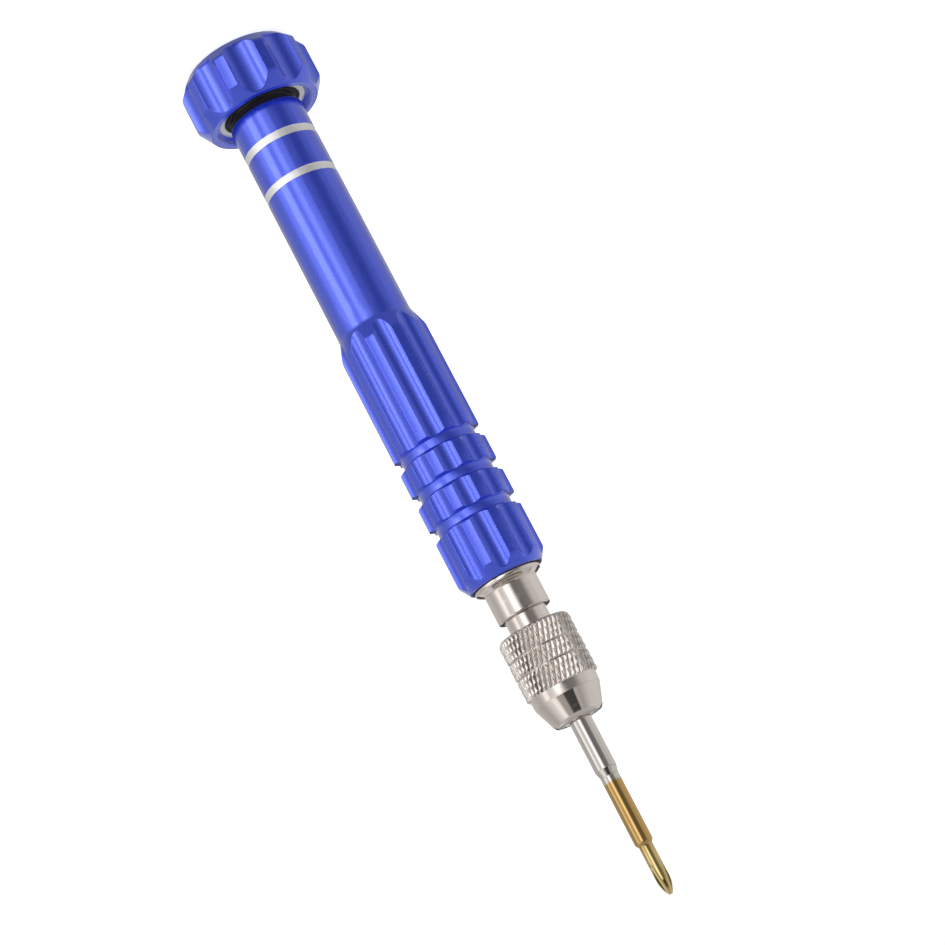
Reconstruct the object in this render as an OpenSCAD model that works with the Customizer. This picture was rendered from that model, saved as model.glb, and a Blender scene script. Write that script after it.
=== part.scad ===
// Watchmaker screwdriver with a ball-bearing finger cap, a hollow aluminium barrel and a collet chuck.
// The origin is the centre of the cap's flat rear face. +Z runs along the tool to the tip of the bit.

/* [Cap] */
// Diameter over the lands of the finger cap
cap_d = 18.6; // [18:0.1:20]
// Length of the finger cap
cap_len = 8.7; // [8.1:0.05:8.8]
// Diameter of the cap's flat rear face, inside its chamfer
cap_face_d = 15.2; // [14:0.1:16]
// Depth of the flutes in the cap
cap_flute_depth = 1.2; // [0.6:0.1:1.4]
// Number of flutes in the cap
cap_flutes = 10; // [6:1:14]

/* [Bearing] */
// Bore of the ball bearing
bearing_bore_d = 7; // [6.6:0.1:7]
// Outer diameter of the ball bearing
bearing_d = 13; // [12.8:0.1:13.4]
// Width of the ball bearing
bearing_w = 4; // [3.8:0.1:4]
// Diameter of one ball
ball_d = 1.5; // [1.3:0.1:1.5]
// Number of balls
ball_count = 9; // [6:1:9]

/* [Barrel] */
// Diameter of the smooth rear tube
tube_d = 10.6; // [10.2:0.1:11]
// Diameter over the lands of the grip
grip_d = 12.4; // [12.2:0.1:13]
// Height of the barrel's rear rim above the cap's rear face
barrel_rear_z = 9.0; // [9:0.1:9.6]
// Height where the cone from tube to grip starts
grip_rear_z = 42.8; // [40:0.1:45]
// Height of the barrel's front face
barrel_front_z = 81.2; // [81:0.1:82]
// Diameter of the storage bore
store_bore_d = 8.4; // [8.2:0.1:8.8]
// Number of flutes in the grip
grip_flutes = 10; // [6:1:14]
// Depth of the flutes in the grip
grip_flute_depth = 0.65; // [0.3:0.05:0.8]
// Height of the first finger groove
groove_first_z = 61.05; // [60:0.05:62]
// Distance from one finger groove to the next
groove_pitch = 5.15; // [4.5:0.05:5.5]

/* [Chuck] */
// Diameter of the chuck body's collar
collar_d = 7.44; // [7:0.02:8]
// Diameter of the neck behind the nut
neck_d = 5.8; // [5.7:0.1:5.8]
// Diameter over the nut's knurled bands
nut_d = 10.2; // [9.6:0.1:11]
// Height of the nut's rear face, with the nut tight
nut_rear_z = 88.55; // [88.3:0.05:89]
// Length of the nut
nut_len = 13.2; // [13:0.05:13.4]
// Width of one slot in the collet
collet_slot_w = 0.35; // [0.2:0.05:0.5]

/* [Bits] */
// Diameter of the bit's shank
bit_shank_d = 3.0; // [2.6:0.1:3]
// Length of a bit
bit_len = 40; // [38:0.5:40]
// Diameter of the bit's long waist
bit_waist_d = 2.5; // [1.9:0.1:2.6]
// Diameter of the bit's slim end
bit_slim_d = 1.88; // [1.5:0.02:1.88]

/* [Hidden] */
$fn = 96;
anodised_blue = [0.16, 0.22, 0.74];
nickel = [0.80, 0.76, 0.71];
bearing_steel = [0.86, 0.87, 0.88];
gold_coat = [0.80, 0.66, 0.32];
black_rubber = [0.07, 0.07, 0.08];
blackened = [0.16, 0.14, 0.13];
brass_sheet = [0.72, 0.56, 0.30];
eps = 0.01;

// Cap
cap_r = cap_d / 2;
cap_rear_chamfer = 1.9;
cap_front_chamfer = 1.35;
cap_front_chamfer_len = 1.85;
cap_mouth_break = 0.15;
cap_rim_len = 1.0;
cap_mouth_r = bearing_d / 2 + 0.4;
cap_cutter_r = 3.0;
cap_cavity_r = 5.3;
cap_floor_z = 1.8;

// Bearing
bearing_z = 3.8;
bearing_top_z = bearing_z + bearing_w;
bearing_mid_z = bearing_z + bearing_w / 2;
bore_r = bearing_bore_d / 2;
outer_r = bearing_d / 2;
pitch_r = (bore_r + outer_r) / 2;
ball_r = ball_d / 2;
race_groove_r = ball_r + 0.03;
race_half_gap = 0.6;
inner_land_r = pitch_r - race_half_gap;
outer_land_r = pitch_r + race_half_gap;
seal_t = 0.3;
seal_inset = 0.2;
seal_lip_gap = 0.05;
cage_half_w = 0.3;
cage_half_h = 1.0;

// Plug
plug_flange_r = 5.0;
plug_flange_t = 0.7;
plug_neck_r = 4.2;
plug_stem_r = store_bore_d / 2 - 0.05;
plug_stem_len = 6.0;
o_ring_r = 0.41;
o_ring_z = barrel_rear_z + 3.0;
o_ring_groove_r = plug_stem_r - 0.8;
o_ring_groove_half = 0.55;
screw_r = 1.0;
screw_head_r = 1.9;
screw_head_t = 0.9;
screw_tip_z = 8.7;
screw_slot_w = 0.45;
screw_slot_depth = 0.4;
washer_t = 0.3;
washer_r = 4.1;

// Barrel
tube_r = tube_d / 2;
grip_r = grip_d / 2;
store_r = store_bore_d / 2;
grip_cone_len = 2.6;
grip_cutter_r = 1.8;
grip_nose_chamfer = 1.6;
grip_nose_r = 5.2;
groove_flat = 1.35;
groove_slope = 0.45;
groove_count = 3;
store_end_z = 58;
rim_break = 0.2;
ring_depth = 0.05;
ring_z = [[13.5, 14.65], [19.7, 20.8]];
front_bore_r = 3.5;
front_bore_z = 67;
flange_recess = 0.25;
flange_recess_r = 5.0;

// Chuck
washer_inner_r = 3.6;
flange_r = 4.7;
flange_t = 0.55;
flange_cone_len = 0.6;
collar_r = collar_d / 2;
neck_r = neck_d / 2;
thread_r = 2.75;
thread_gap = 0.05;
thread_start_z = 92.0;
body_top_z = 95.5;
socket_bottom_z = 86.3;
collet_seat_z = 90.0;
collet_stem_r = 1.97;
running_gap = 0.02;
collar_top_z = 86.45;
collar_break = 0.3;
spigot_z = 69;
nut_r = nut_d / 2;
nut_front_z = nut_rear_z + nut_len;
nut_chamber_r = 3.0;
nut_cone_z = 97.6;
nut_nose_z = nut_front_z - 0.55;
nut_nose_r = 2.05;
nut_band_ends = [3.1, 5.45, 8.5];
nut_band_gap = 0.2;
nut_band_depth = 0.35;
nut_corner = 0.4;
shoulder_rear_r = 4.72;
shoulder_front_r = 4.62;
shoulder_len = 1.35;
nut_face_r = 3.5;
nut_face_chamfer = 0.35;
mouth_break = 0.15;
collet_head_r = 2.7;
collet_gap = 0.04;
collet_slots = 4;
collet_ring_len = 2.0;

// Bits
shank_r = bit_shank_d / 2;
waist_r = bit_waist_d / 2;
slim_r = bit_slim_d / 2;
tip_z = 126.4;
bit_rear_z = tip_z - bit_len;
point_len = 0.8;
slim_len = 7.2;
waist_len = 17.5;
step_len = 0.35;
cone_len = 0.8;
spare_rear_z = 56.2;
spare_ring_r = 2.62;
blade_t = 0.4;
blade_len = 2.5;
prism_len = 3.0;
wing_t = 0.3;
wing_len = 1.0;
wing_inset = 0.05;
hollow_r = 0.5;
hollow_tilt = 9;
hollow_out = 1.36;
hollow_len = 3.9;
point_r = 0.28;
taper_len = 1.0;
taper_r = 0.66;

// A solid of revolution from [radius, height] points
module turned(points) {
    rotate_extrude() polygon(points);
}

// A plain ring between two radii and two heights
module ring(r_in, r_out, z0, z1) {
    turned([[r_in, z0], [r_out, z0], [r_out, z1], [r_in, z1]]);
}

// Straight round cutters spaced evenly about the axis, between the lands
module flute_cutters(count, surface_r, depth, cutter_r, z0, z1) {
    for (i = [0 : count - 1])
        rotate([0, 0, (i + 0.5) * 360 / count])
            translate([surface_r - depth + cutter_r, 0, z0])
                cylinder(r = cutter_r, h = z1 - z0);
}

// ---- Handle ----

// Outline of one finger groove: square rear wall, flat floor, slope back to the grip
function groove_points(z) = [
    [grip_r, z], [tube_r, z], [tube_r, z + groove_flat], [grip_r, z + groove_flat + groove_slope]
];

module barrel() {
    outline = concat(
        [[store_r + rim_break, barrel_rear_z], [tube_r - rim_break, barrel_rear_z],
         [tube_r, barrel_rear_z + rim_break]],
        [for (z = ring_z) each [[tube_r, z[0]], [tube_r - ring_depth, z[0]],
                                [tube_r - ring_depth, z[1]], [tube_r, z[1]]]],
        [[tube_r, grip_rear_z], [grip_r, grip_rear_z + grip_cone_len]],
        [for (i = [0 : groove_count - 1]) each groove_points(groove_first_z + i * groove_pitch)],
        [[grip_r, barrel_front_z - grip_nose_chamfer], [grip_nose_r, barrel_front_z],
         [flange_recess_r, barrel_front_z], [flange_recess_r, barrel_front_z - flange_recess],
         [front_bore_r, barrel_front_z - flange_recess], [front_bore_r, front_bore_z],
         [0, front_bore_z], [0, store_end_z], [store_r, store_end_z],
         [store_r, barrel_rear_z + rim_break]]
    );
    color(anodised_blue)
    difference() {
        turned(outline);
        flute_cutters(grip_flutes, grip_r, grip_flute_depth, grip_cutter_r,
                      grip_rear_z - 1, barrel_front_z + 1);
    }
}

module flange_washer() {
    color(black_rubber)
    ring(washer_inner_r, flange_r + 0.2, barrel_front_z - flange_recess, barrel_front_z);
}

// Spigot that screws into the barrel, flange, collar, neck and the nose that carries the nut
module chuck_body() {
    color(nickel)
    turned([
        [0, spigot_z], [front_bore_r - rim_break, spigot_z], [front_bore_r, spigot_z + rim_break],
        [front_bore_r, barrel_front_z], [flange_r, barrel_front_z], [flange_r, barrel_front_z + flange_t],
        [collar_r, barrel_front_z + flange_t + flange_cone_len], [collar_r, collar_top_z - collar_break],
        [collar_r - collar_break, collar_top_z], [neck_r, collar_top_z],
        [neck_r, thread_start_z - 0.3], [thread_r, thread_start_z - 0.15],
        [thread_r, body_top_z - rim_break], [thread_r - rim_break, body_top_z],
        [collet_stem_r + running_gap, body_top_z], [collet_stem_r + running_gap, collet_seat_z],
        [shank_r + running_gap, collet_seat_z], [shank_r + running_gap, socket_bottom_z],
        [0, socket_bottom_z]
    ]);
}

// Split collet: a stem in the body, and a head whose cone the nut closes
module collet() {
    nose_r = nut_nose_r - collet_gap;
    cone_rise = (nut_chamber_r - nut_nose_r) / (nut_nose_z - nut_cone_z);
    cone_start_z = nut_cone_z + (nut_chamber_r - collet_gap - collet_head_r) / cone_rise;
    rear_z = collet_seat_z + 0.2;
    color(bearing_steel)
    difference() {
        turned([
            [shank_r + running_gap, rear_z], [collet_stem_r, rear_z],
            [collet_stem_r, body_top_z + 0.1], [collet_head_r, body_top_z + 0.1],
            [collet_head_r, cone_start_z], [nose_r, nut_nose_z], [nose_r, nut_front_z - 0.2],
            [shank_r + running_gap, nut_front_z - 0.2]
        ]);
        for (i = [0 : collet_slots - 1])
            rotate([0, 0, i * 360 / collet_slots])
                translate([0, -collet_slot_w / 2, rear_z + collet_ring_len])
                    cube([nut_r, collet_slot_w, nut_len + 1]);
    }
}

// Three knurled bands behind a plain cone
module chuck_nut() {
    band_end = [for (end = nut_band_ends) nut_rear_z + end];
    half_gap = nut_band_gap / 2;
    band_floor_r = nut_r - nut_band_depth;
    bore_r = neck_r + 0.1;
    gaps = [for (i = [0 : 1]) each [
        [nut_r, band_end[i] - half_gap], [band_floor_r, band_end[i] - half_gap],
        [band_floor_r, band_end[i] + half_gap], [nut_r, band_end[i] + half_gap]
    ]];
    color(nickel)
    turned(concat(
        [[bore_r, nut_rear_z], [nut_r - nut_corner, nut_rear_z], [nut_r, nut_rear_z + nut_corner]],
        gaps,
        [[nut_r, band_end[2]], [shoulder_rear_r, band_end[2]],
         [shoulder_front_r, band_end[2] + shoulder_len],
         [nut_face_r, nut_front_z - nut_face_chamfer], [nut_face_r - nut_face_chamfer, nut_front_z],
         [nut_nose_r + mouth_break, nut_front_z], [nut_nose_r, nut_front_z - mouth_break],
         [nut_nose_r, nut_nose_z], [nut_chamber_r, nut_cone_z], [nut_chamber_r, nut_cone_z - 1],
         [thread_r + thread_gap, nut_cone_z - 1], [thread_r + thread_gap, thread_start_z],
         [bore_r, thread_start_z]]
    ));
}

// ---- Bits ----

// Outline shared by all bits, standing on z = 0, from the foot up to the slim end
function bit_points() = [
    [0, 0], [shank_r - rim_break, 0], [shank_r, rim_break], [shank_r, bit_len - waist_len],
    [waist_r, bit_len - waist_len + cone_len], [waist_r, bit_len - slim_len],
    [slim_r, bit_len - slim_len + step_len]
];

// Blank with a plain round end at a height
module bit_blank(end_z) {
    turned(concat(bit_points(), [[slim_r, end_z], [0, end_z]]));
}

// Cross point: four tapering hollows leave four wings
module bit() {
    color(gold_coat)
    translate([0, 0, bit_rear_z])
    difference() {
        turned(concat(bit_points(), [
            [slim_r, bit_len - taper_len - point_len], [taper_r, bit_len - point_len],
            [point_r, bit_len], [0, bit_len]
        ]));
        for (i = [0 : 3])
            rotate([0, 0, 45 + i * 90])
                translate([hollow_out, 0, bit_len - hollow_len])
                    rotate([0, -hollow_tilt, 0])
                        cylinder(r = hollow_r, h = hollow_len + 1, $fn = 32);
    }
}

// Places one of four spare bits in the storage bore, point towards the rear
module stored(index) {
    rotate([0, 0, 45 + index * 90])
        translate([spare_ring_r, 0, spare_rear_z])
            mirror([0, 0, 1])
                children();
}

module spare_bit_slotted() {
    color(gold_coat)
    stored(0)
    difference() {
        bit_blank(bit_len);
        for (side = [0, 1])
            mirror([side, 0, 0])
                translate([blade_t / 2, -slim_r - 1, bit_len - blade_len])
                    cube([slim_r, 2 * slim_r + 2, blade_len + 1]);
    }
}

// Spare bit whose end is a prism with a number of sides
module prism_bit(sides) {
    union() {
        bit_blank(bit_len - prism_len);
        translate([0, 0, bit_len - prism_len - eps])
            cylinder(r = slim_r, h = prism_len + eps, $fn = sides);
    }
}

module spare_bit_hex() {
    color(gold_coat)
    stored(1)
    prism_bit(6);
}

module spare_bit_square() {
    color(gold_coat)
    stored(2)
    prism_bit(4);
}

module spare_bit_tri_wing() {
    color(gold_coat)
    stored(3)
    union() {
        bit_blank(bit_len - wing_len);
        for (i = [0 : 2])
            rotate([0, 0, i * 120])
                translate([0, -wing_t / 2, bit_len - wing_len - eps])
                    cube([slim_r - wing_inset, wing_t, wing_len + eps]);
    }
}

// ---- Pull-out plug ----

module tail_plug() {
    color(blackened)
    turned([
        [screw_r, bearing_z], [bore_r - 0.1, bearing_z], [bore_r, bearing_z + 0.1],
        [bore_r, bearing_top_z], [plug_neck_r, bearing_top_z],
        [plug_neck_r, barrel_rear_z - plug_flange_t], [plug_flange_r, barrel_rear_z - plug_flange_t],
        [plug_flange_r, barrel_rear_z], [plug_stem_r, barrel_rear_z],
        [plug_stem_r, o_ring_z - o_ring_groove_half], [o_ring_groove_r, o_ring_z - o_ring_groove_half],
        [o_ring_groove_r, o_ring_z + o_ring_groove_half], [plug_stem_r, o_ring_z + o_ring_groove_half],
        [plug_stem_r, barrel_rear_z + plug_stem_len - 0.4],
        [plug_stem_r - 0.4, barrel_rear_z + plug_stem_len], [0, barrel_rear_z + plug_stem_len],
        [0, screw_tip_z + 0.2], [screw_r, screw_tip_z + 0.2]
    ]);
}

module plug_o_ring() {
    color(black_rubber)
    translate([0, 0, o_ring_z])
        rotate_extrude()
            translate([o_ring_groove_r + o_ring_r, 0])
                circle(r = o_ring_r);
}

module bearing_washer() {
    color(brass_sheet)
    ring(screw_r, washer_r, bearing_z - washer_t, bearing_z);
}

module bearing_screw() {
    head_z = bearing_z - washer_t - screw_head_t;
    color(bearing_steel)
    difference() {
        turned([
            [0, head_z], [screw_head_r - 0.3, head_z], [screw_head_r, head_z + 0.3],
            [screw_head_r, bearing_z - washer_t], [screw_r, bearing_z - washer_t],
            [screw_r, screw_tip_z - 0.3], [screw_r - 0.3, screw_tip_z], [0, screw_tip_z]
        ]);
        translate([-screw_head_r - 1, -screw_slot_w / 2, head_z - 1])
            cube([2 * screw_head_r + 2, screw_slot_w, 1 + screw_slot_depth]);
    }
}

// ---- Ball bearing ----

// Ring of one race with the ball groove cut in it
module race(r_in, r_out) {
    color(bearing_steel)
    rotate_extrude()
        difference() {
            translate([r_in, bearing_z])
                square([r_out - r_in, bearing_w]);
            translate([pitch_r, bearing_mid_z])
                circle(r = race_groove_r);
        }
}

module bearing_inner_race() {
    race(bore_r, inner_land_r);
}

module bearing_outer_race() {
    race(outer_land_r, outer_r);
}

module seal(z0) {
    color(black_rubber)
    ring(inner_land_r + seal_lip_gap, outer_land_r, z0, z0 + seal_t);
}

module bearing_seal_rear() {
    seal(bearing_z + seal_inset);
}

module bearing_seal_front() {
    seal(bearing_top_z - seal_inset - seal_t);
}

// Centres of the balls, each at one pocket of the cage
module at_balls() {
    for (i = [0 : ball_count - 1])
        rotate([0, 0, i * 360 / ball_count])
            translate([pitch_r, 0, bearing_mid_z])
                children();
}

module bearing_balls() {
    color(bearing_steel)
    at_balls()
        sphere(r = ball_r);
}

module bearing_cage() {
    color(brass_sheet)
    difference() {
        ring(pitch_r - cage_half_w, pitch_r + cage_half_w,
             bearing_mid_z - cage_half_h, bearing_mid_z + cage_half_h);
        at_balls()
            sphere(r = ball_r + 0.05);
    }
}

// ---- Cap ----

module cap() {
    color(anodised_blue)
    difference() {
        turned([
            [0, 0], [cap_face_d / 2, 0], [cap_r, cap_rear_chamfer], [cap_r, cap_len - cap_front_chamfer_len],
            [cap_r - cap_front_chamfer, cap_len], [cap_mouth_r + cap_mouth_break, cap_len],
            [cap_mouth_r, cap_len - cap_mouth_break], [cap_mouth_r, bearing_top_z], [outer_r, bearing_top_z],
            [outer_r, bearing_z], [cap_cavity_r, bearing_z], [cap_cavity_r, cap_floor_z],
            [0, cap_floor_z]
        ]);
        flute_cutters(cap_flutes, cap_r, cap_flute_depth, cap_cutter_r, cap_rim_len, cap_len + 1);
    }
}

barrel();
flange_washer();
chuck_body();
collet();
chuck_nut();
bit();
spare_bit_slotted();
spare_bit_hex();
spare_bit_square();
spare_bit_tri_wing();
tail_plug();
plug_o_ring();
bearing_inner_race();
bearing_washer();
bearing_screw();
cap();
bearing_outer_race();
bearing_seal_rear();
bearing_seal_front();
bearing_cage();
bearing_balls();
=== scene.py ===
"""Looks of the watchmaker screwdriver: it stands on its cap, with its tip along +Z."""

import math

import bmesh
import bpy
import numpy as np
from mathutils import Matrix, Vector


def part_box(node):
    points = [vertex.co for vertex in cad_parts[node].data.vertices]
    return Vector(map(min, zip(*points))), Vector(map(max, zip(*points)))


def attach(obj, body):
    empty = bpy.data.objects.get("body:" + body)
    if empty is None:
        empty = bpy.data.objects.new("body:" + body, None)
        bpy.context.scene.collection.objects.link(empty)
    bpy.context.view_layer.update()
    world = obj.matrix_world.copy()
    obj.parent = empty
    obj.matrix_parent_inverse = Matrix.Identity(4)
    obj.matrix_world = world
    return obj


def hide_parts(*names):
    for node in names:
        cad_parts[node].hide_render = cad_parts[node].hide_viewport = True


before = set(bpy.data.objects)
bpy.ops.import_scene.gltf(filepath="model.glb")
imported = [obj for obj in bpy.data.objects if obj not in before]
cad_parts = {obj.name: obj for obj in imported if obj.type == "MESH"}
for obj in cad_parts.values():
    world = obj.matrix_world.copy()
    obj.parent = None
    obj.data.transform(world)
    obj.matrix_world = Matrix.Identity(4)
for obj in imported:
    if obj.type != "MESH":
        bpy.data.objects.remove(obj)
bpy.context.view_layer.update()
scene = bpy.context.scene
scene.view_settings.view_transform = "Standard"
MM = 0.001


# ---- Camera: below the tip, rolled so that the tip points down to the right ----

AIM = Vector((0, 0, 66.56 * MM))
DISTANCE = 297.9 * MM
AZIMUTH = math.radians(6.3)
ELEVATION = math.radians(13.0)
ROLL = math.radians(152.34)
AIM_RIGHT = -2.197 * MM
AIM_UP = -1.141 * MM
LENS_MM = 86.5
SENSOR_MM = 36.0


def make_camera():
    back = Vector((
        math.sin(AZIMUTH) * math.cos(ELEVATION),
        -math.cos(AZIMUTH) * math.cos(ELEVATION),
        math.sin(ELEVATION),
    ))
    level = Vector((math.cos(AZIMUTH), math.sin(AZIMUTH), 0))
    upright = back.cross(level)
    right = level * math.cos(ROLL) + upright * math.sin(ROLL)
    up = upright * math.cos(ROLL) - level * math.sin(ROLL)
    camera = bpy.data.objects.new("camera", bpy.data.cameras.new("camera"))
    scene.collection.objects.link(camera)
    place = AIM - right * AIM_RIGHT - up * AIM_UP + back * DISTANCE
    turn = Matrix((right, up, back)).transposed().to_4x4()
    camera.matrix_world = Matrix.Translation(place) @ turn
    camera.data.sensor_width = SENSOR_MM
    camera.data.lens = LENS_MM
    camera.data.clip_start = 10 * MM
    camera.data.clip_end = 20
    camera.data.dof.use_dof = False
    scene.camera = camera


# ---- Node helpers ----

class Graph:
    """A short way to add nodes and links to a node tree."""

    def __init__(self, tree):
        self.tree = tree
        tree.nodes.clear()

    def node(self, kind, settings=None, **inputs):
        made = self.tree.nodes.new(kind)
        for key, value in (settings or {}).items():
            setattr(made, key, value)
        for key, value in inputs.items():
            self.put(made.inputs[key.replace("_", " ")], value)
        return made

    def put(self, socket, value):
        if isinstance(value, bpy.types.NodeSocket):
            self.tree.links.new(value, socket)
        else:
            socket.default_value = value

    def math(self, operation, first, second=0.0, third=0.0, clamp=False):
        made = self.tree.nodes.new("ShaderNodeMath")
        made.operation = operation
        made.use_clamp = clamp
        for i, value in enumerate((first, second, third)):
            self.put(made.inputs[i], value)
        return made.outputs[0]

    def ramp(self, value, stops, interpolation="LINEAR"):
        """A colour ramp: stops are (position, colour), where a number is a grey."""
        made = self.tree.nodes.new("ShaderNodeValToRGB")
        made.color_ramp.interpolation = interpolation
        elements = made.color_ramp.elements
        while len(elements) < len(stops):
            elements.new(0.5)
        for element, (position, colour) in zip(elements, stops):
            element.position = position
            grey = isinstance(colour, (int, float))
            element.color = (colour, colour, colour, 1) if grey else (*colour, 1)
        self.put(made.inputs[0], value)
        return made.outputs[0]

    def noise(self, vector, scale, detail=2.0, roughness=0.5):
        made = self.tree.nodes.new("ShaderNodeTexNoise")
        self.put(made.inputs["Vector"], vector)
        made.inputs["Scale"].default_value = scale
        made.inputs["Detail"].default_value = detail
        made.inputs["Roughness"].default_value = roughness
        return made.outputs["Fac"]

    def scaled(self, vector, scale):
        made = self.tree.nodes.new("ShaderNodeMapping")
        self.put(made.inputs["Vector"], vector)
        made.inputs["Scale"].default_value = scale
        return made.outputs[0]

    def mix(self, factor, first, second):
        made = self.tree.nodes.new("ShaderNodeMix")
        made.data_type = "RGBA"
        self.put(made.inputs["Factor"], factor)
        for name, value in (("A", first), ("B", second)):
            socket = [s for s in made.inputs if s.name == name and s.type == "RGBA"][0]
            linked = isinstance(value, bpy.types.NodeSocket)
            self.put(socket, value if linked else (*value, 1))
        return [s for s in made.outputs if s.type == "RGBA"][0]

    def bump(self, height, distance, strength=1.0, normal=None):
        made = self.tree.nodes.new("ShaderNodeBump")
        made.inputs["Distance"].default_value = distance
        made.inputs["Strength"].default_value = strength
        self.put(made.inputs["Height"], height)
        if normal is not None:
            self.put(made.inputs["Normal"], normal)
        return made.outputs[0]


def material(name):
    """A new node material: its graph, its object coordinates and its shader."""
    made = bpy.data.materials.new(name)
    made.use_nodes = True
    graph = Graph(made.node_tree)
    shader = graph.node("ShaderNodeBsdfPrincipled")
    output = graph.node("ShaderNodeOutputMaterial")
    graph.tree.links.new(shader.outputs[0], output.inputs["Surface"])
    place = graph.node("ShaderNodeTexCoord").outputs["Object"]
    return made, graph, place, shader


# ---- Materials ----

def anodised_blue():
    """Bead-blasted aluminium under blue anodising: a deep soft blue with paler specks of painted sparkle,
    under a crisp, faintly grainy gloss.
    """
    made, graph, place, shader = material("anodised_blue")
    shader.inputs["Metallic"].default_value = 0.5
    shader.inputs["Coat Weight"].default_value = 1.0
    shader.inputs["Coat IOR"].default_value = 1.65
    shader.inputs["Coat Roughness"].default_value = 0.09
    cloud = graph.noise(place, 90, 3)
    grain = graph.noise(place, 5200, 2, 0.6)
    blue = graph.mix(cloud, (0.024, 0.072, 0.83), (0.030, 0.086, 0.91))
    # Paler, whiter specks along the grain: painted sparkle, glints of light painted into the blue.
    painted_sparkle = graph.ramp(grain, [(0.54, 0.0), (0.74, 1.0)])
    graph.put(shader.inputs["Base Color"], graph.mix(painted_sparkle, blue, (0.06, 0.125, 0.96)))
    graph.put(shader.inputs["Roughness"], graph.math("MULTIPLY_ADD", grain, 0.10, 0.17))
    graph.put(shader.inputs["Normal"], graph.bump(grain, 0.01 * MM, 0.5))
    graph.put(shader.inputs["Coat Normal"], graph.bump(grain, 0.02 * MM, 0.7))
    return made


def bare_aluminium():
    """Diamond-turned bands: pale metal with fine turning lines round the axis."""
    made, graph, place, shader = material("bare_aluminium")
    shader.inputs["Metallic"].default_value = 0.6
    lines = graph.noise(graph.scaled(place, (20, 20, 9000)), 1.0, 2)
    graph.put(shader.inputs["Base Color"], graph.mix(lines, (0.88, 0.87, 0.855), (0.97, 0.965, 0.955)))
    graph.put(shader.inputs["Roughness"], graph.math("MULTIPLY_ADD", lines, 0.14, 0.36))
    graph.put(shader.inputs["Normal"], graph.bump(lines, 0.004 * MM, 0.4))
    return made


def nickel(name, tint, rough):
    """Bright nickel plate with soft ripples and faint handling marks."""
    made, graph, place, shader = material(name)
    shader.inputs["Metallic"].default_value = 1.0
    cloud = graph.noise(place, 240, 3)
    marks = graph.noise(graph.scaled(place, (900, 900, 2600)), 1.0, 3)
    darker = tuple(0.93 * c for c in tint)
    graph.put(shader.inputs["Base Color"], graph.mix(cloud, darker, tint))
    worn = graph.ramp(marks, [(0.45, 0.0), (0.75, 1.0)])
    graph.put(shader.inputs["Roughness"], graph.math("MULTIPLY_ADD", worn, 0.10, rough))
    graph.put(shader.inputs["Normal"], graph.bump(cloud, 0.02 * MM, 0.12))
    return made


def coated_bit(name, start_z, end_z, gold_up=True):
    """Nickel shank, then a gold-coloured hard coating from a height along the bit."""
    made, graph, place, shader = material(name)
    shader.inputs["Metallic"].default_value = 1.0
    height = graph.node("ShaderNodeSeparateXYZ", Vector=place).outputs["Z"]
    wobble = graph.math("MULTIPLY_ADD", graph.noise(place, 700, 2), 0.5 * MM, -0.25 * MM)
    along = graph.math("ADD", height, wobble)
    if gold_up:
        share = graph.math("DIVIDE", graph.math("SUBTRACT", along, start_z), 0.35 * MM, clamp=True)
        tip = graph.math("DIVIDE", graph.math("SUBTRACT", along, end_z), 2.0 * MM, clamp=True)
    else:
        share = graph.math("DIVIDE", graph.math("SUBTRACT", start_z, along), 0.35 * MM, clamp=True)
        tip = graph.math("DIVIDE", graph.math("SUBTRACT", end_z, along), 2.0 * MM, clamp=True)
    streaks = graph.noise(graph.scaled(place, (1500, 1500, 60)), 1.0, 3)
    gold = graph.mix(streaks, (0.40, 0.245, 0.075), (0.58, 0.385, 0.155))
    lemon = graph.mix(streaks, (0.50, 0.375, 0.145), (0.68, 0.55, 0.27))
    steel = graph.mix(streaks, (0.56, 0.515, 0.475), (0.67, 0.625, 0.585))
    coated = graph.mix(tip, gold, lemon)
    graph.put(shader.inputs["Base Color"], graph.mix(share, steel, coated))
    graph.put(shader.inputs["Roughness"], graph.math("MULTIPLY_ADD", streaks, 0.06, 0.06))
    graph.put(shader.inputs["Normal"], graph.bump(streaks, 0.006 * MM, 0.3))
    return made


def blackened_steel():
    """Dark oxide on steel, with a satin sheen."""
    made, graph, place, shader = material("blackened_steel")
    shader.inputs["Metallic"].default_value = 0.8
    cloud = graph.noise(place, 500, 3)
    graph.put(shader.inputs["Base Color"], graph.mix(cloud, (0.035, 0.030, 0.026), (0.085, 0.072, 0.060)))
    graph.put(shader.inputs["Roughness"], graph.math("MULTIPLY_ADD", cloud, 0.25, 0.25))
    return made


def ground_steel(name, metallic, dull, bright, rough):
    """Ground steel with fine lines round the axis."""
    made, graph, place, shader = material(name)
    shader.inputs["Metallic"].default_value = metallic
    lines = graph.noise(graph.scaled(place, (60, 60, 5000)), 1.0, 2)
    graph.put(shader.inputs["Base Color"], graph.mix(lines, dull, bright))
    graph.put(shader.inputs["Roughness"], graph.math("MULTIPLY_ADD", lines, 0.14, rough))
    return made


def cage_brass():
    """Pressed brass sheet."""
    made, graph, place, shader = material("cage_brass")
    shader.inputs["Metallic"].default_value = 1.0
    cloud = graph.noise(place, 600, 3)
    graph.put(shader.inputs["Base Color"], graph.mix(cloud, (0.58, 0.40, 0.16), (0.76, 0.57, 0.27)))
    graph.put(shader.inputs["Roughness"], graph.math("MULTIPLY_ADD", cloud, 0.2, 0.25))
    return made


def black_rubber():
    """Matt black rubber."""
    made, graph, place, shader = material("black_rubber")
    cloud = graph.noise(place, 1500, 4)
    graph.put(shader.inputs["Base Color"], graph.mix(cloud, (0.012, 0.012, 0.013), (0.035, 0.034, 0.033)))
    graph.put(shader.inputs["Roughness"], graph.math("MULTIPLY_ADD", cloud, 0.25, 0.42))
    graph.put(shader.inputs["Normal"], graph.bump(cloud, 0.03 * MM, 0.3))
    return made


# ---- Turned pieces ----

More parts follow.
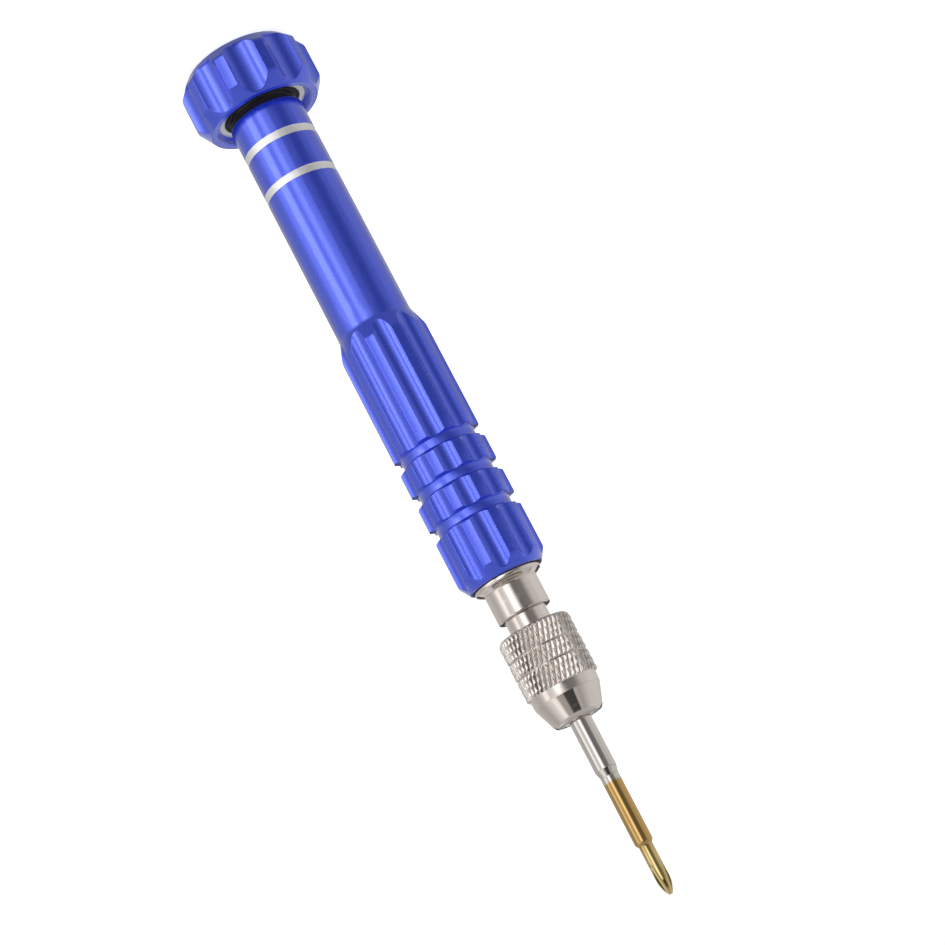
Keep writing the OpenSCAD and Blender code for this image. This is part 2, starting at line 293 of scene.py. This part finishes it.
def eased(points, fillets):
    """An outline whose corners are replaced with short curves. Points are (radius, height)."""
    out = []
    last = len(points) - 1
    for i, (corner, fillet) in enumerate(zip(points, fillets)):
        if i in (0, last) or fillet == 0:
            out.append(tuple(corner))
            continue
        here, before, after = (np.array(p, float) for p in (corner, points[i - 1], points[i + 1]))
        reach = [min(fillet, 0.45 * np.linalg.norm(p - here)) for p in (before, after)]
        start = here + (before - here) / np.linalg.norm(before - here) * reach[0]
        end = here + (after - here) / np.linalg.norm(after - here) * reach[1]
        for t in np.linspace(0, 1, 5):
            out.append(tuple((1 - t) ** 2 * start + 2 * t * (1 - t) * here + t * t * end))
    return out


def filled(points, slope_step, straight_step):
    """More points along each line: closely where it slopes, and further apart where it is straight."""
    out = [points[0]]
    for a, b in zip(points, points[1:]):
        dr, dz = b[0] - a[0], b[1] - a[1]
        step = slope_step if abs(dr) > 0.02 else straight_step
        count = max(1, int(math.ceil(math.hypot(dr, dz) / step)))
        out += [(a[0] + dr * k / count, a[1] + dz * k / count) for k in range(1, count + 1)]
    return out


def soft_min(a, b, width):
    """The smaller of two radii, with the edge between them rounded over a width."""
    share = np.clip(0.5 + 0.5 * (b - a) / width, 0, 1)
    return b * (1 - share) + a * share - width * share * (1 - share)


class Flutes:
    """Round-bottomed flutes spaced evenly about the axis, with lands at multiples of the pitch."""

    def __init__(self, count, centre, cutter, ease):
        self.count, self.centre, self.cutter, self.ease = count, centre, cutter, ease
        self.half = math.pi / count

    def edge(self, radius, centre):
        """Half the angle that a flute takes up at a radius."""
        cosine = (centre**2 + radius**2 - self.cutter**2) / (2 * centre * radius)
        return min(math.acos(min(1.0, max(-1.0, cosine))), 0.97 * self.half)

    def angles(self, radius, centre):
        """Angles round one ring, with rows that follow both edges of every flute."""
        floor = 0.004
        edge = max(self.edge(radius, centre), floor) if radius > centre - self.cutter else floor
        spread = np.array([-1.0, -0.5, -0.2, 0.2, 0.5, 1.0]) * self.ease / radius
        inner = max(edge + 1.6 * spread[0], 0.3 * edge)
        cluster = np.maximum(edge + spread, inner + 0.1 * (edge - inner))
        outer = min(edge + 1.6 * spread[-1], 0.5 * (edge + self.half))
        cluster = np.minimum(cluster, outer)
        side = np.concatenate([
            np.linspace(0, inner, 8)[1:], np.sort(cluster),
            np.linspace(outer, self.half, 5)[1:-1],
        ])
        one = np.concatenate([-self.half + np.zeros(1), -side[::-1], np.zeros(1), side])
        turns = (np.arange(self.count) + 0.5) * 2 * self.half
        return (turns[:, None] + one[None, :]).ravel()

    def radii(self, angles, radius, centre):
        local = angles % (2 * self.half) - self.half
        sideways = np.minimum(np.abs(centre * np.sin(local)), self.cutter)
        near = centre * np.cos(local) - np.sqrt(self.cutter**2 - sideways**2)
        near = np.where(np.abs(centre * np.sin(local)) >= self.cutter, radius + 1, near)
        return soft_min(np.full(len(angles), radius), near, self.ease)


def mesh_piece(name, rings, poles, closed, materials, slot_of=None, split=None):
    """A mesh through rings of points in millimetres. poles are the heights of its end points on the axis.

    split(ring, k) gives "rising" or "falling" where a face is cut in two along that diagonal.
    """
    mesh = bmesh.new()
    rows = [[mesh.verts.new(Vector(p) * MM) for p in ring] for ring in rings]
    count = len(rows[0])
    pairs = list(zip(rows, rows[1:])) + ([(rows[-1], rows[0])] if closed else [])
    for index, (low, high) in enumerate(pairs):
        for k in range(count):
            after = (k + 1) % count
            around = (low[k], low[after], high[after], high[k])
            cut = split(index, k) if split else None
            if cut == "rising":
                corners = [around[:3], (around[0], around[2], around[3])]
            elif cut == "falling":
                corners = [(around[0], around[1], around[3]), around[1:]]
            else:
                corners = [around]
            for part in corners:
                face = mesh.faces.new(part)
                face.material_index = slot_of(index) if slot_of else 0
                face.smooth = cut is None
    if not closed:
        for row, height, flip in ((rows[0], poles[0], True), (rows[-1], poles[1], False)):
            tip = mesh.verts.new(Vector((0, 0, height)) * MM)
            for k in range(count):
                after = (k + 1) % count
                corners = (row[after], row[k], tip) if flip else (row[k], row[after], tip)
                mesh.faces.new(corners).smooth = True
    bmesh.ops.remove_doubles(mesh, verts=mesh.verts, dist=0.0004 * MM)
    bmesh.ops.dissolve_degenerate(mesh, edges=mesh.edges, dist=0.0004 * MM)
    bmesh.ops.recalc_face_normals(mesh, faces=mesh.faces)
    data = bpy.data.meshes.new(name)
    mesh.to_mesh(data)
    mesh.free()
    for made in materials:
        data.materials.append(made)
    piece = bpy.data.objects.new(name, data)
    scene.collection.objects.link(piece)
    return piece


def turned(name, outline, materials, closed=False, flutes=None, fluted=None, slot_of=None):
    """A turned piece from (radius, height) points.

    fluted(radius, height) gives the distance of the flutes' centres from the axis, or None where it is round.
    """
    count = 128
    body = outline if closed else outline[1:-1]
    rings = []
    for radius, height in body:
        centre = fluted(radius, height) if flutes else None
        if flutes:
            angles = flutes.angles(radius if centre else 0.0, centre or flutes.centre)
        else:
            angles = np.arange(count) * 2 * math.pi / count
        radii = flutes.radii(angles, radius, centre) if centre else np.full(len(angles), radius)
        heights = np.full(len(angles), height)
        rings.append(np.stack([radii * np.cos(angles), radii * np.sin(angles), heights], 1))
    poles = None if closed else (outline[0][1], outline[-1][1])
    lookup = (lambda i: slot_of(body[i], body[(i + 1) % len(body)])) if slot_of else None
    return mesh_piece(name, rings, poles, closed, materials, lookup)


def settle(piece, body, node):
    """The piece rides on a body and stands in for a CAD node, which is hidden."""
    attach(piece, body)
    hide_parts(node)


# ---- Dimensions, worked out from the frame ----

def span(node):
    """The lowest and highest z of a node and its outer radius, in millimetres."""
    low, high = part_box(node)
    return low.z / MM, high.z / MM, max(high.x, -low.x) / MM


barrel_z0, barrel_z1, grip_r = span("barrel")
cap_z0, cap_z1, cap_r = span("cap")
nut_z0, nut_z1, nut_r = span("chuck_nut")
body_z0, body_z1, flange_r = span("chuck_body")
bit_z0, bit_z1, shank_r = span("bit")
race_z0, race_z1, race_r = span("bearing_outer_race")
tube_r = grip_r - 0.9
store_r = tube_r - 1.1
FLUTE_COUNT = 10
# How far the centres of the flutes' cutters stand from the axis, on the grip and on the cap
GRIP_FLUTE_R = 7.35
CAP_FLUTE_R = 11.1
# Start and end of each bare ring, from the barrel's rear face
BARE_RINGS = [(4.5, 5.65), (10.7, 11.8)]


# ---- The barrel ----

def barrel_outline():
    """The outline from the floor of the storage bore, out over the grip, to the floor of the front bore."""
    ring_cut = 0.04
    cone = barrel_z0 + 33.8
    grooves = [barrel_z0 + 52.05 + i * 5.15 for i in range(3)]
    nose = barrel_z1 - 1.6
    recess = barrel_z1 - 0.25
    points, fillets = [], []

    def add(radius, height, fillet=0.0):
        points.append((radius, height))
        fillets.append(fillet)

    add(0, barrel_z0 + 49)
    add(store_r, barrel_z0 + 49, 0.2)
    add(store_r, barrel_z0 + 0.2, 0.05)
    add(store_r + 0.2, barrel_z0, 0.05)
    add(tube_r - 0.2, barrel_z0, 0.08)
    add(tube_r, barrel_z0 + 0.2, 0.08)
    for low, high in BARE_RINGS:
        add(tube_r, barrel_z0 + low, 0.015)
        add(tube_r - ring_cut, barrel_z0 + low + ring_cut, 0.015)
        add(tube_r - ring_cut, barrel_z0 + high - ring_cut, 0.015)
        add(tube_r, barrel_z0 + high, 0.015)
    add(tube_r, cone, 0.5)
    add(grip_r, cone + 2.6, 0.35)
    for groove in grooves:
        add(grip_r, groove - 0.06, 0.05)
        add(tube_r, groove + 0.14, 0.08)
        add(tube_r, groove + 1.35, 0.15)
        add(grip_r, groove + 1.8, 0.10)
    add(grip_r, nose, 0.25)
    add(5.2, barrel_z1, 0.12)
    add(5.0, barrel_z1, 0.04)
    add(5.0, recess, 0.04)
    add(3.5, recess, 0.03)
    add(3.5, 67, 0.05)
    add(0, 67)
    return filled(eased(points, fillets), 0.07, 2.0)


def make_barrel(blue, bare):
    flutes = Flutes(FLUTE_COUNT, GRIP_FLUTE_R, 1.8, 0.05)
    bands = [(barrel_z0 + low, barrel_z0 + high) for low, high in BARE_RINGS]

    def cut(radius, height):
        return GRIP_FLUTE_R if barrel_z0 + 33 < height < barrel_z1 and radius > 5.25 else None

    def slot_of(a, b):
        middle = (a[1] + b[1]) / 2
        return int(a[0] > 5 and any(low < middle < high for low, high in bands))

    barrel = turned(
        "barrel_shell", barrel_outline(), [blue, bare], flutes=flutes, fluted=cut, slot_of=slot_of,
    )
    settle(barrel, "handle", "barrel")


# ---- The cap ----

def make_cap(blue):
    mouth_r = race_r + 0.4
    rim = cap_z0 + 1.0
    rim_r = 7.6 + 1.7 / 1.9
    points = [
        (0, cap_z0), (7.6, cap_z0), (rim_r - 0.02, rim - 0.02), (rim_r, rim), (cap_r, cap_z0 + 1.9),
        (cap_r, cap_z1 - 1.85), (cap_r - 1.35, cap_z1), (mouth_r + 0.2, cap_z1), (mouth_r, cap_z1 - 0.2),
        (mouth_r, race_z1), (race_r, race_z1), (race_r, race_z0), (5.3, race_z0), (5.3, 1.8), (0, 1.8),
    ]
    fillets = [0, 0.25, 0, 0, 0.3, 0.3, 0.12, 0.08, 0.08, 0.05, 0.03, 0.05, 0.1, 0.2, 0]
    outline = filled(eased(points, fillets), 0.08, 2.0)
    flutes = Flutes(FLUTE_COUNT, CAP_FLUTE_R, 3.0, 0.06)

    def cut(radius, height):
        return CAP_FLUTE_R if radius > 7.6 and height >= rim else None

    cap = turned("finger_cap", outline, [blue], flutes=flutes, fluted=cut)
    settle(cap, "cap", "cap")


# ---- The bearing's visible rings ----

def make_bearing(steel, rubber):
    inner = race_r - 0.9
    ease = 0.12
    outline = eased(
        [
            (inner, 5.5), (inner, race_z1), (race_r, race_z1), (race_r, race_z0), (inner, race_z0),
            (inner, 5.5),
        ],
        [0, ease, ease, ease, ease, 0],
    )[:-1]
    race = turned("outer_race_ring", filled(outline, 0.3, 1.0), [steel], closed=True)
    settle(race, "cap", "bearing_outer_race")
    shields = (("front_shield", "bearing_seal_front", 1), ("rear_shield", "bearing_seal_rear", -1))
    for name, node, side in shields:
        low, high, outer = span(node)
        face, back = (high, low) if side > 0 else (low, high)
        lip = side * 0.08
        outline = [
            (4.45, back), (outer, back), (outer, face), (outer - 0.2, face), (outer - 0.3, face - lip),
            (4.85, face - lip), (4.75, face), (4.5, face), (4.45, face - lip),
        ]
        shield = turned(name, eased(outline, [0] + [0.04] * 7 + [0]), [rubber], closed=True)
        settle(shield, "cap", node)


# ---- The chuck ----

def make_chuck_body(plate):
    z = barrel_z1
    points = [
        (0, body_z0), (3.3, body_z0), (3.5, body_z0 + 0.2), (3.5, z), (flange_r, z), (flange_r, z + 0.55),
        (3.72, z + 1.15), (3.72, z + 5.3), (2.9, z + 5.3), (2.9, 91.7), (2.75, 91.85),
        (2.75, body_z1 - 0.2), (2.55, body_z1), (1.99, body_z1), (1.99, 90), (1.52, 90), (1.52, 86.3),
        (0, 86.3),
    ]
    fillets = [0, 0.1, 0.1, 0.02, 0.1, 0.15, 0.2, 0.28, 0.1, 0.1, 0.1, 0.1, 0.1, 0.05, 0.05, 0.05, 0.05, 0]
    body = turned("chuck_collar", filled(eased(points, fillets), 0.3, 2.0), [plate])
    settle(body, "handle", "chuck_body")


KNURL_TEETH = 43
KNURL_STEPS = 12
KNURL_DEPTH = 0.27


def knurl(index, row):
    """Height of the knurling, 0 in its grooves and 1 on top: deep cuts one way, crossed by shallow ones."""
    half = KNURL_STEPS / 2
    one = np.abs((index + row) % KNURL_STEPS - half) / half
    other = np.abs((index - row) % KNURL_STEPS - half) / half
    return np.minimum(np.minimum(0.42 + 0.58 * one, other) * 1.12, 1.0)


def make_nut(plate, rough_plate):
    """The nut: three knurled bands with turned grooves between them, then a plain shoulder and cone."""
    count = KNURL_TEETH * KNURL_STEPS
    half = KNURL_STEPS // 2
    angles = np.arange(count) * 2 * math.pi / count
    bands = [
        (nut_z0, nut_z0 + 3.0, 18), (nut_z0 + 3.2, nut_z0 + 5.35, 13), (nut_z0 + 5.55, nut_z0 + 8.45, 17),
    ]
    crushed = np.random.default_rng(7)
    floor = nut_r - KNURL_DEPTH - 0.11
    rings, rows = [], []

    def ring(radii, height, row=None):
        radii = np.broadcast_to(radii, (count,))
        rings.append(np.stack([radii * np.cos(angles), radii * np.sin(angles), np.full(count, height)], 1))
        rows.append(row)

    bore = [
        (2.05, nut_z1 - 0.15), (2.05, nut_z1 - 0.55), (3.0, 97.6), (3.0, 96.6), (2.8, 96.6), (2.8, 92),
        (3.0, 92), (3.0, nut_z0 + 0.15), (3.15, nut_z0),
    ]
    for radius, height in filled(eased(bore, [0.05] * len(bore)), 0.3, 2.0):
        ring(radius, height)
    ring(4.1, nut_z0)
    row = 0
    for number, (low, high, steps) in enumerate(bands):
        edge = 0.16 if number else 0.42
        if number:
            ring(floor, low)
        for k in range(steps + 1):
            height = low + (high - low) * k / steps
            share = knurl(np.arange(count), row) - 0.06 * crushed.random(count)
            radii = nut_r - KNURL_DEPTH * (1 - share)
            start = nut_r - edge * max(0.0, 1 - (height - low) / edge)
            end = nut_r - 0.16 * max(0.0, 1 - (high - height) / 0.16)
            ring(np.minimum(radii, min(start, end)), height, row)
            row += 1
        ring(floor, high)
    end = bands[-1][1]
    cone = [
        (floor, end + 0.02), (4.62, end + 1.4), (3.5, nut_z1 - 0.35), (3.15, nut_z1), (2.2, nut_z1),
        (2.05, nut_z1 - 0.15),
    ]
    for radius, height in filled(eased(cone, [0, 0.06, 0.3, 0.15, 0.05, 0]), 0.4, 2.0)[:-1]:
        ring(radius, height)

    def is_knurled(index):
        return rows[index] is not None and rows[(index + 1) % len(rows)] is not None

    def split(index, k):
        """Cuts each knurled face along the groove that crosses it."""
        if not is_knurled(index):
            return None
        falling = (k + 1 + rows[index]) % KNURL_STEPS == half
        return "falling" if falling else "rising"

    finishes = [plate, rough_plate]
    nut = mesh_piece("knurled_nut", rings, None, True, finishes, lambda i: int(is_knurled(i)), split)
    settle(nut, "nut", "chuck_nut")


# ---- The bit ----

def make_bit(coat):
    """The bit: shank, waist, slim end and a cross point of four wings."""
    z = bit_z1
    points = [
        (0, bit_z0), (1.3, bit_z0), (shank_r, bit_z0 + 0.2), (shank_r, z - 17.5), (1.25, z - 16.7),
        (1.25, z - 7.2), (0.94, z - 6.85), (0.94, z - 1.8), (0.66, z - 0.8), (0.28, z), (0, z),
    ]
    fillets = [0, 0.08, 0.08, 0.3, 0.25, 0.12, 0.12, 0.4, 0.4, 0.12, 0]
    outline = filled(eased(points, fillets), 0.08, 0.25)
    flutes = Flutes(4, 1.36, 0.5, 0.05)
    start = z - 3.9

    def cut(radius, height):
        centre = 1.36 - math.tan(math.radians(9)) * (height - start)
        return centre if height > start else None

    bit = turned("cross_point_bit", outline, [coat], flutes=flutes, fluted=cut)
    settle(bit, "bit", "bit")


# ---- Floor and light ----

def make_floor():
    """A wide white floor at the height that the cap stands on."""
    made, graph, place, shader = material("floor_white")
    cloud = graph.noise(place, 30, 2)
    graph.put(shader.inputs["Base Color"], graph.mix(cloud, (0.93, 0.93, 0.93), (0.95, 0.95, 0.95)))
    shader.inputs["Roughness"].default_value = 0.9
    shader.inputs["Specular IOR Level"].default_value = 0.0
    shader.inputs["Emission Color"].default_value = (1, 1, 1, 1)
    shader.inputs["Emission Strength"].default_value = 0.75
    size = 4.0
    mesh = bmesh.new()
    corners = [(-size, -size), (size, -size), (size, size), (-size, size)]
    mesh.faces.new([mesh.verts.new((x, y, cap_z0 * MM - 0.00002)) for x, y in corners])
    data = bpy.data.meshes.new("floor")
    mesh.to_mesh(data)
    mesh.free()
    data.materials.append(made)
    floor = bpy.data.objects.new("floor", data)
    scene.collection.objects.link(floor)
    floor.visible_glossy = False
    floor.visible_diffuse = False


# Brightness of the studio by the angle from the camera's side, in layers from low to high. Softboxes
# stand to the right and dark flags to the left of the camera. The values were typed one by one, starting from
# brightness measured across the round metal in the photograph, and revised until the reflections came close.
STUDIO_BASE = [
    (-180, 0.40), (-128, 0.38), (-96, 0.52), (-80, 0.46), (-64, 0.26), (-48, 0.14), (-32, 0.24),
    (-16, 0.46), (-4, 0.80), (6, 1.20), (12, 1.75), (20, 1.75), (26, 0.85), (34, 0.72), (40, 1.40),
    (46, 2.20), (54, 2.10), (62, 1.45), (72, 0.95), (84, 0.60), (96, 0.45), (128, 0.38), (180, 0.40),
]
STUDIO_LOW = [
    (-180, 0.55), (-150, 0.55), (-128, 0.62), (-100, 0.66), (-84, 0.58), (-64, 0.54), (-50, 0.34),
    (-42, 0.20), (-12, 0.16), (-5, 0.22), (0, 0.60), (7, 1.15), (12, 1.60), (24, 1.50), (30, 0.88),
    (40, 0.68),
    (50, 0.66), (58, 1.10), (66, 1.10), (74, 0.74), (82, 0.56), (96, 0.44), (112, 0.50), (180, 0.55),
]
STUDIO_LEVEL = [
    (-180, 0.50), (-96, 0.47), (-64, 0.41), (-48, 0.32), (-32, 0.21), (-16, 0.20), (-4, 0.42), (8, 0.80),
    (16, 1.20), (24, 0.90), (48, 0.72), (64, 0.68), (76, 0.42), (96, 0.42), (128, 0.55), (180, 0.55),
]
FRONT_HIGH = [
    (-145, 0.60), (-96, 0.62), (-80, 0.59), (-64, 0.48), (-48, 0.35), (-36, 0.42), (-30, 0.45),
    (-27, 0.05), (8, 0.05), (13, 0.34), (34, 0.38), (42, 0.95), (52, 1.00), (64, 0.74),
    (80, 0.60), (96, 0.42), (145, 0.48),
]
STUDIO_HIGH = [(-180, 0.05), (-160, 0.05)] + FRONT_HIGH + [(160, 0.05), (180, 0.05)]
STUDIO_FAR = [(-180, 0.64), (-160, 0.62)] + FRONT_HIGH + [(160, 0.62), (180, 0.64)]
STUDIO_STEEP = [
    (-180, 0.06), (-162, 0.06), (-145, 0.50), (0, 0.42), (145, 0.60), (162, 0.06), (180, 0.06),
]
STUDIO_BOTTOM = 0.28
# Each layer with the two heights of the direction between which it takes over.
STUDIO_LAYERS = [
    (STUDIO_BASE, -0.75, -0.52), (STUDIO_LOW, -0.22, -0.17), (STUDIO_LEVEL, 0.012, 0.03),
    (STUDIO_HIGH, 0.08, 0.14), (STUDIO_FAR, 0.33, 0.38), (STUDIO_STEEP, 0.595, 0.615),
    ([(-180, 0.40), (180, 0.40)], 0.80, 0.92),
]


def make_world():
    """A studio as a backdrop: white to the eye, and softboxes and dark flags to what the metal mirrors."""
    world = bpy.data.worlds.new("studio")
    scene.world = world
    world.use_nodes = True
    graph = Graph(world.node_tree)
    direction = graph.node("ShaderNodeTexCoord").outputs["Generated"]
    axes = graph.node("ShaderNodeSeparateXYZ", Vector=direction).outputs
    front = AZIMUTH - math.pi / 2
    turn = graph.math("ARCTAN2", axes["Y"], axes["X"])
    offset = graph.math("ADD", graph.math("DIVIDE", graph.math("SUBTRACT", turn, front), 2 * math.pi), 1.5)
    around = graph.math("FRACT", offset)

    height = graph.math("MULTIPLY_ADD", axes["Z"], 0.5, 0.5)
    light = (STUDIO_BOTTOM,) * 3
    for table, start, end in STUDIO_LAYERS:
        layer = graph.ramp(around, [((angle + 180) / 360, value) for angle, value in table])
        share = graph.ramp(height, [(0.5 + start / 2, 0.0), (0.5 + end / 2, 1.0)], "EASE")
        light = graph.mix(share, light, layer)
    background = graph.node("ShaderNodeBackground", Color=light, Strength=1.3)
    white = graph.node("ShaderNodeBackground", Color=(1, 1, 1, 1), Strength=1.0)
    camera_ray = graph.node("ShaderNodeLightPath").outputs["Is Camera Ray"]
    mixed = graph.node("ShaderNodeMixShader")
    graph.put(mixed.inputs[0], camera_ray)
    graph.tree.links.new(background.outputs[0], mixed.inputs[1])
    graph.tree.links.new(white.outputs[0], mixed.inputs[2])
    output = graph.node("ShaderNodeOutputWorld")
    graph.tree.links.new(mixed.outputs[0], output.inputs["Surface"])


# ---- Everything together ----

make_camera()
make_world()
make_floor()

blue = anodised_blue()
bare = bare_aluminium()
plate = nickel("nickel_plate", (0.70, 0.632, 0.585), 0.07)
rough_plate = nickel("knurled_nickel", (0.74, 0.675, 0.63), 0.24)
dark = blackened_steel()
steel = ground_steel("ground_steel", 1.0, (0.74, 0.74, 0.75), (0.88, 0.88, 0.89), 0.16)
ring_steel = ground_steel("satin_steel", 0.5, (0.90, 0.90, 0.90), (0.97, 0.97, 0.965), 0.24)
rubber = black_rubber()
brass = cage_brass()
GOLD_START = (bit_z1 - 15.9) * MM
GOLD_TIP = (bit_z1 - 7.4) * MM
coat = coated_bit("coated_bit", GOLD_START, GOLD_TIP)
spare_low, spare_high, _ = span("spare_bit_hex")
spare_coat = coated_bit("coated_spare_bit", (spare_low + 15.9) * MM, (spare_low + 7.4) * MM, gold_up=False)

make_barrel(blue, bare)
make_cap(blue)
make_bearing(ring_steel, rubber)
make_chuck_body(plate)
make_nut(plate, rough_plate)
make_bit(coat)

CARRIED = {
    "flange_washer": (rubber, "black_rubber"),
    "plug_o_ring": (rubber, "black_rubber"),
    "collet": (steel, "spring_steel"),
    "bearing_screw": (steel, "spring_steel"),
    "bearing_inner_race": (steel, "bearing_steel"),
    "bearing_balls": (steel, "bearing_steel"),
    "bearing_cage": (brass, "cage_brass"),
    "bearing_washer": (brass, "cage_brass"),
    "tail_plug": (dark, "blackened_steel"),
    "spare_bit_slotted": (spare_coat, "bit_steel"),
    "spare_bit_hex": (spare_coat, "bit_steel"),
    "spare_bit_square": (spare_coat, "bit_steel"),
    "spare_bit_tri_wing": (spare_coat, "bit_steel"),
}
for node_name, (look, slot_name) in CARRIED.items():
    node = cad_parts[node_name]
    node.data.materials.clear()
    node.data.materials.append(look)
